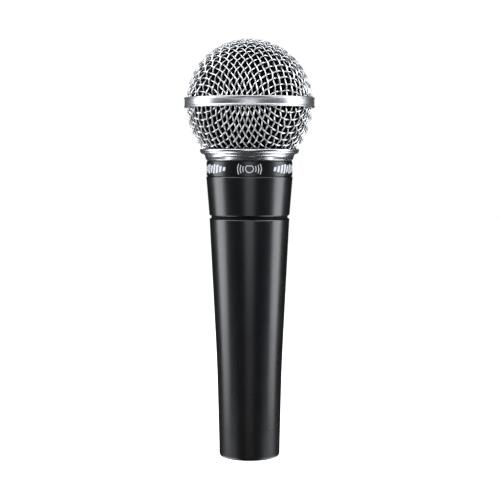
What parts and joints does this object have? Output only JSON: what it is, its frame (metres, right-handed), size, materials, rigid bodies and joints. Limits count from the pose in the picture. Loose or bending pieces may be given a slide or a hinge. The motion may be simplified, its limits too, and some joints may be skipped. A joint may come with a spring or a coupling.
{
  "type": "dynamic microphone",
  "caption": "Handheld vocal microphone: ball grille of woven wire over a foam-lined screw-on collar, tapered metal handle, floating moving-coil capsule and a three-pin foot connector.",
  "frame": {"origin": "centre of the foot, on the face it stands on, at the connector end", "axes": "+Z along the microphone's axis towards the ball grille; -Y is the front, the side the label's marks face; +X is to the right seen from the front"},
  "size_m": [0.0504, 0.0504, 0.162],
  "materials": {
    "body_paint": "satin",
    "label_black": "satin",
    "seal_black": "matte",
    "shim_black": "matte",
    "mesh_steel": "satin",
    "band_nickel": "satin",
    "collar_nickel": "polished",
    "plain_steel": "satin",
    "foam_dark": "matte",
    "insert_black": "matte",
    "pin_silver": "polished",
    "brass_bare": "satin",
    "screw_black": "satin",
    "core_iron": "satin",
    "bobbin_nylon": "matte",
    "winding_copper": "satin",
    "potting_wax": "satin",
    "lead_red": "satin",
    "lead_black": "satin",
    "lead_yellow": "satin",
    "lead_green": "satin",
    "capsule_plastic": "satin",
    "chamber_plastic": "satin",
    "ring_silver": "satin",
    "screen_cloth": "matte",
    "felt_white": "matte",
    "yoke_iron": "satin",
    "magnet_iron": "satin",
    "seat_nylon": "satin",
    "film_clear": "gloss",
    "board_green": "satin",
    "rubber_black": "matte"
  },
  "bodies": {
    "handle": {"handle": "body_paint", "connector_insert": "insert_black", "pin_1": "pin_silver", "pin_2": "pin_silver", "pin_3": "pin_silver", "ground_clip": "brass_bare", "connector_screw": "screw_black", "transformer_core": "core_iron", "transformer_bobbin": "bobbin_nylon", "transformer_winding": "winding_copper", "transformer_potting": "potting_wax", "connector_lead_red": "lead_red", "connector_lead_black": "lead_black"},
    "neck_seal": {"neck_washer": "seal_black", "cartridge_lead_yellow": "lead_yellow", "cartridge_lead_green": "lead_green"},
    "neck": {"neck": "body_paint", "label_band": "label_black"},
    "grille_seal": {"collar_washer": "shim_black"},
    "windscreen": {"windscreen_dome": "foam_dark", "windscreen_skirt": "foam_dark"},
    "grille": {"grille_collar": "collar_nickel", "basket_ring": "plain_steel", "grille_basket": "mesh_steel", "grille_dome": "mesh_steel", "grille_band": "band_nickel", "grille_inner_band": "plain_steel"},
    "cartridge": {"cartridge_housing": "capsule_plastic", "port_screen": "screen_cloth", "yoke_cup": "yoke_iron", "magnet": "magnet_iron", "pole_piece": "yoke_iron", "top_plate": "yoke_iron", "diaphragm_seat": "seat_nylon", "clamp_ring": "seat_nylon", "chamber_felt": "felt_white", "front_screen": "screen_cloth", "terminal_board": "board_green", "terminal_tag_left": "brass_bare", "terminal_tag_right": "brass_bare", "resonator_cap": "capsule_plastic", "screen_ring": "ring_silver", "rear_chamber": "chamber_plastic", "shock_mount": "rubber_black"},
    "diaphragm": {"voice_coil": "winding_copper", "diaphragm": "film_clear"}
  },
  "joints": [
    {"name": "neck_thread_lift", "type": "slide", "parent": "handle", "child": "neck_seal", "axis": [0, 0, 1], "range_m": [0, 0.006], "deforming": ["cartridge_lead_yellow", "cartridge_lead_green"]},
    {"name": "neck_turn", "type": "hinge", "parent": "neck_seal", "child": "neck", "pos_m": [0, 0, 0.0941], "axis": [0, 0, 1], "range_deg": [0, 2160]},
    {"name": "grille_thread_lift", "type": "slide", "parent": "neck", "child": "grille_seal", "axis": [0, 0, 1], "range_m": [0, 0.005]},
    {"name": "grille_pull_off", "type": "slide", "parent": "grille_seal", "child": "windscreen", "axis": [0, 0, 1], "range_m": [0, 0.07]},
    {"name": "grille_turn", "type": "hinge", "parent": "windscreen", "child": "grille", "pos_m": [0, 0, 0.1154], "axis": [0, 0, 1], "range_deg": [0, 1800]},
    {"name": "cartridge_float", "type": "slide", "parent": "neck", "child": "cartridge", "axis": [0, 0, 1], "range_m": [-0.0008, 0.0008], "stiffness_N_per_m": 1200, "springref_m": 0.0004, "deforming": ["shock_mount"]},
    {"name": "diaphragm_travel", "type": "slide", "parent": "cartridge", "child": "diaphragm", "axis": [0, 0, 1], "range_m": [-0.00025, 0.00025], "stiffness_N_per_m": 90, "springref_m": 0.0001, "deforming": ["diaphragm"]}
  ],
  "couplings": [
    {"joint": "neck_thread_lift", "follows": "neck_turn", "m_per_rad": 0.00015915},
    {"joint": "grille_thread_lift", "follows": "grille_turn", "m_per_rad": 0.00015915}
  ]
}
